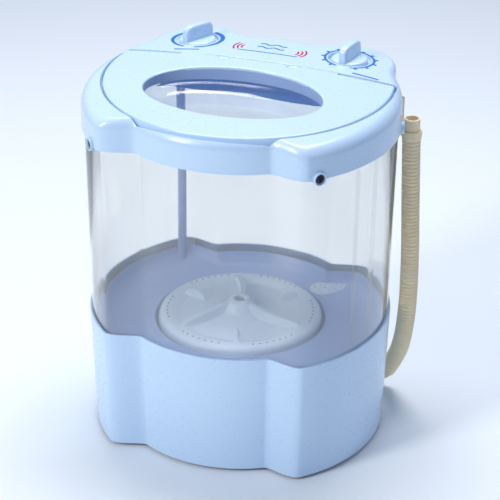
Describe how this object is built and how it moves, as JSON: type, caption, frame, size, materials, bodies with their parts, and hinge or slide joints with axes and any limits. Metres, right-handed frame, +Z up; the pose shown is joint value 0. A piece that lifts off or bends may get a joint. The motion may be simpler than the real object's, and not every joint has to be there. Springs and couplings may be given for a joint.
{
  "type": "mini top-load washing machine",
  "caption": "Mini top-load washer: a clear tub between a lobed base and a cover with a hinged oval-window lid, turning knobs, a belt-driven pulsator and a side drain hose.",
  "frame": {"origin": "centre of the machine's footprint on the floor, under its feet; the hose and its clip are not counted", "axes": "+Z up, -Y towards the front where the lid lifts, +X to the right as seen from the front, on the drain hose's side"},
  "size_m": [0.3517, 0.29, 0.416],
  "materials": {
    "blue_plastic": "satin gloss, injection moulded",
    "tray_plastic": "satin, injection moulded",
    "clear_plastic": "clear, polished",
    "hose_plastic": "satin, blow moulded",
    "white_plastic": "satin",
    "grey_plastic": "matte",
    "dark_rubber": "matte",
    "pale_rubber": "matte",
    "screw_steel": "plated",
    "shaft_steel": "ground",
    "plated_sheet": "zinc plated",
    "laminations": "varnished",
    "cast_aluminium": "as cast",
    "bearing_bronze": "sintered"
  },
  "bodies": {
    "housing": {"base_housing": "blue_plastic", "top_cover": "blue_plastic", "drain_grille": "blue_plastic", "control_tray": "tray_plastic", "clear_tub": "clear_plastic", "wire_conduit": "clear_plastic", "drain_hose": "hose_plastic", "hose_cuff": "hose_plastic", "hose_clip": "hose_plastic", "drain_elbow": "hose_plastic", "wash_timer": "white_plastic", "drain_sump": "white_plastic", "run_capacitor": "white_plastic", "wiring_harness": "white_plastic", "bottom_plate": "grey_plastic", "selector_switch": "grey_plastic", "rubber_foot_1": "dark_rubber", "rubber_foot_2": "dark_rubber", "rubber_foot_3": "dark_rubber", "rubber_foot_4": "dark_rubber", "water_seal": "dark_rubber", "drive_belt": "dark_rubber", "drain_pipe": "dark_rubber", "cord_gland": "dark_rubber", "tub_gasket": "pale_rubber", "plate_screw_1": "screw_steel", "plate_screw_2": "screw_steel", "plate_screw_3": "screw_steel", "plate_screw_4": "screw_steel", "cover_screw_1": "screw_steel", "cover_screw_2": "screw_steel", "cover_screw_3": "screw_steel", "cover_screw_4": "screw_steel", "cover_screw_5": "screw_steel", "cover_screw_6": "screw_steel", "bracket_screw_1": "screw_steel", "bracket_screw_2": "screw_steel", "bracket_screw_3": "screw_steel", "bracket_screw_4": "screw_steel", "hinge_pin_left": "screw_steel", "hinge_pin_right": "screw_steel", "motor_bracket": "plated_sheet", "capacitor_clamp": "plated_sheet", "motor_housing": "plated_sheet", "motor_stator": "laminations", "bearing_housing": "cast_aluminium", "upper_bush": "bearing_bronze", "lower_bush": "bearing_bronze"},
    "lid": {"lid_frame": "blue_plastic", "lid_window": "clear_plastic"},
    "selector": {"selector_knob": "blue_plastic", "selector_shaft": "white_plastic"},
    "timer": {"timer_knob": "blue_plastic", "timer_shaft": "white_plastic"},
    "agitator": {"pulsator": "blue_plastic", "pulsator_screw": "screw_steel", "drive_shaft": "shaft_steel", "drive_pulley": "white_plastic"},
    "motor": {"motor_rotor": "shaft_steel", "motor_pulley": "cast_aluminium"}
  },
  "joints": [
    {"name": "lid_hinge", "type": "hinge", "parent": "housing", "child": "lid", "pos_m": [0, 0.046, 0.3978], "axis": [-1, 0, 0], "range_deg": [0, 100]},
    {"name": "selector_turn", "type": "hinge", "parent": "housing", "child": "selector", "pos_m": [-0.087, 0.095, 0.397], "axis": [0, 0, 1], "range_deg": [-60, 60]},
    {"name": "timer_turn", "type": "hinge", "parent": "housing", "child": "timer", "pos_m": [0.087, 0.095, 0.397], "axis": [0, 0, -1], "range_deg": [0, 320]},
    {"name": "pulsator_spin", "type": "hinge", "parent": "housing", "child": "agitator", "pos_m": [0, -0.006, 0.12], "axis": [0, 0, 1], "continuous": true},
    {"name": "motor_spin", "type": "hinge", "parent": "housing", "child": "motor", "pos_m": [-0.1, -0.006, 0.07], "axis": [0, 0, 1], "continuous": true}
  ],
  "couplings": [
    {"joint": "motor_spin", "follows": "pulsator_spin", "ratio": 4.5}
  ]
}
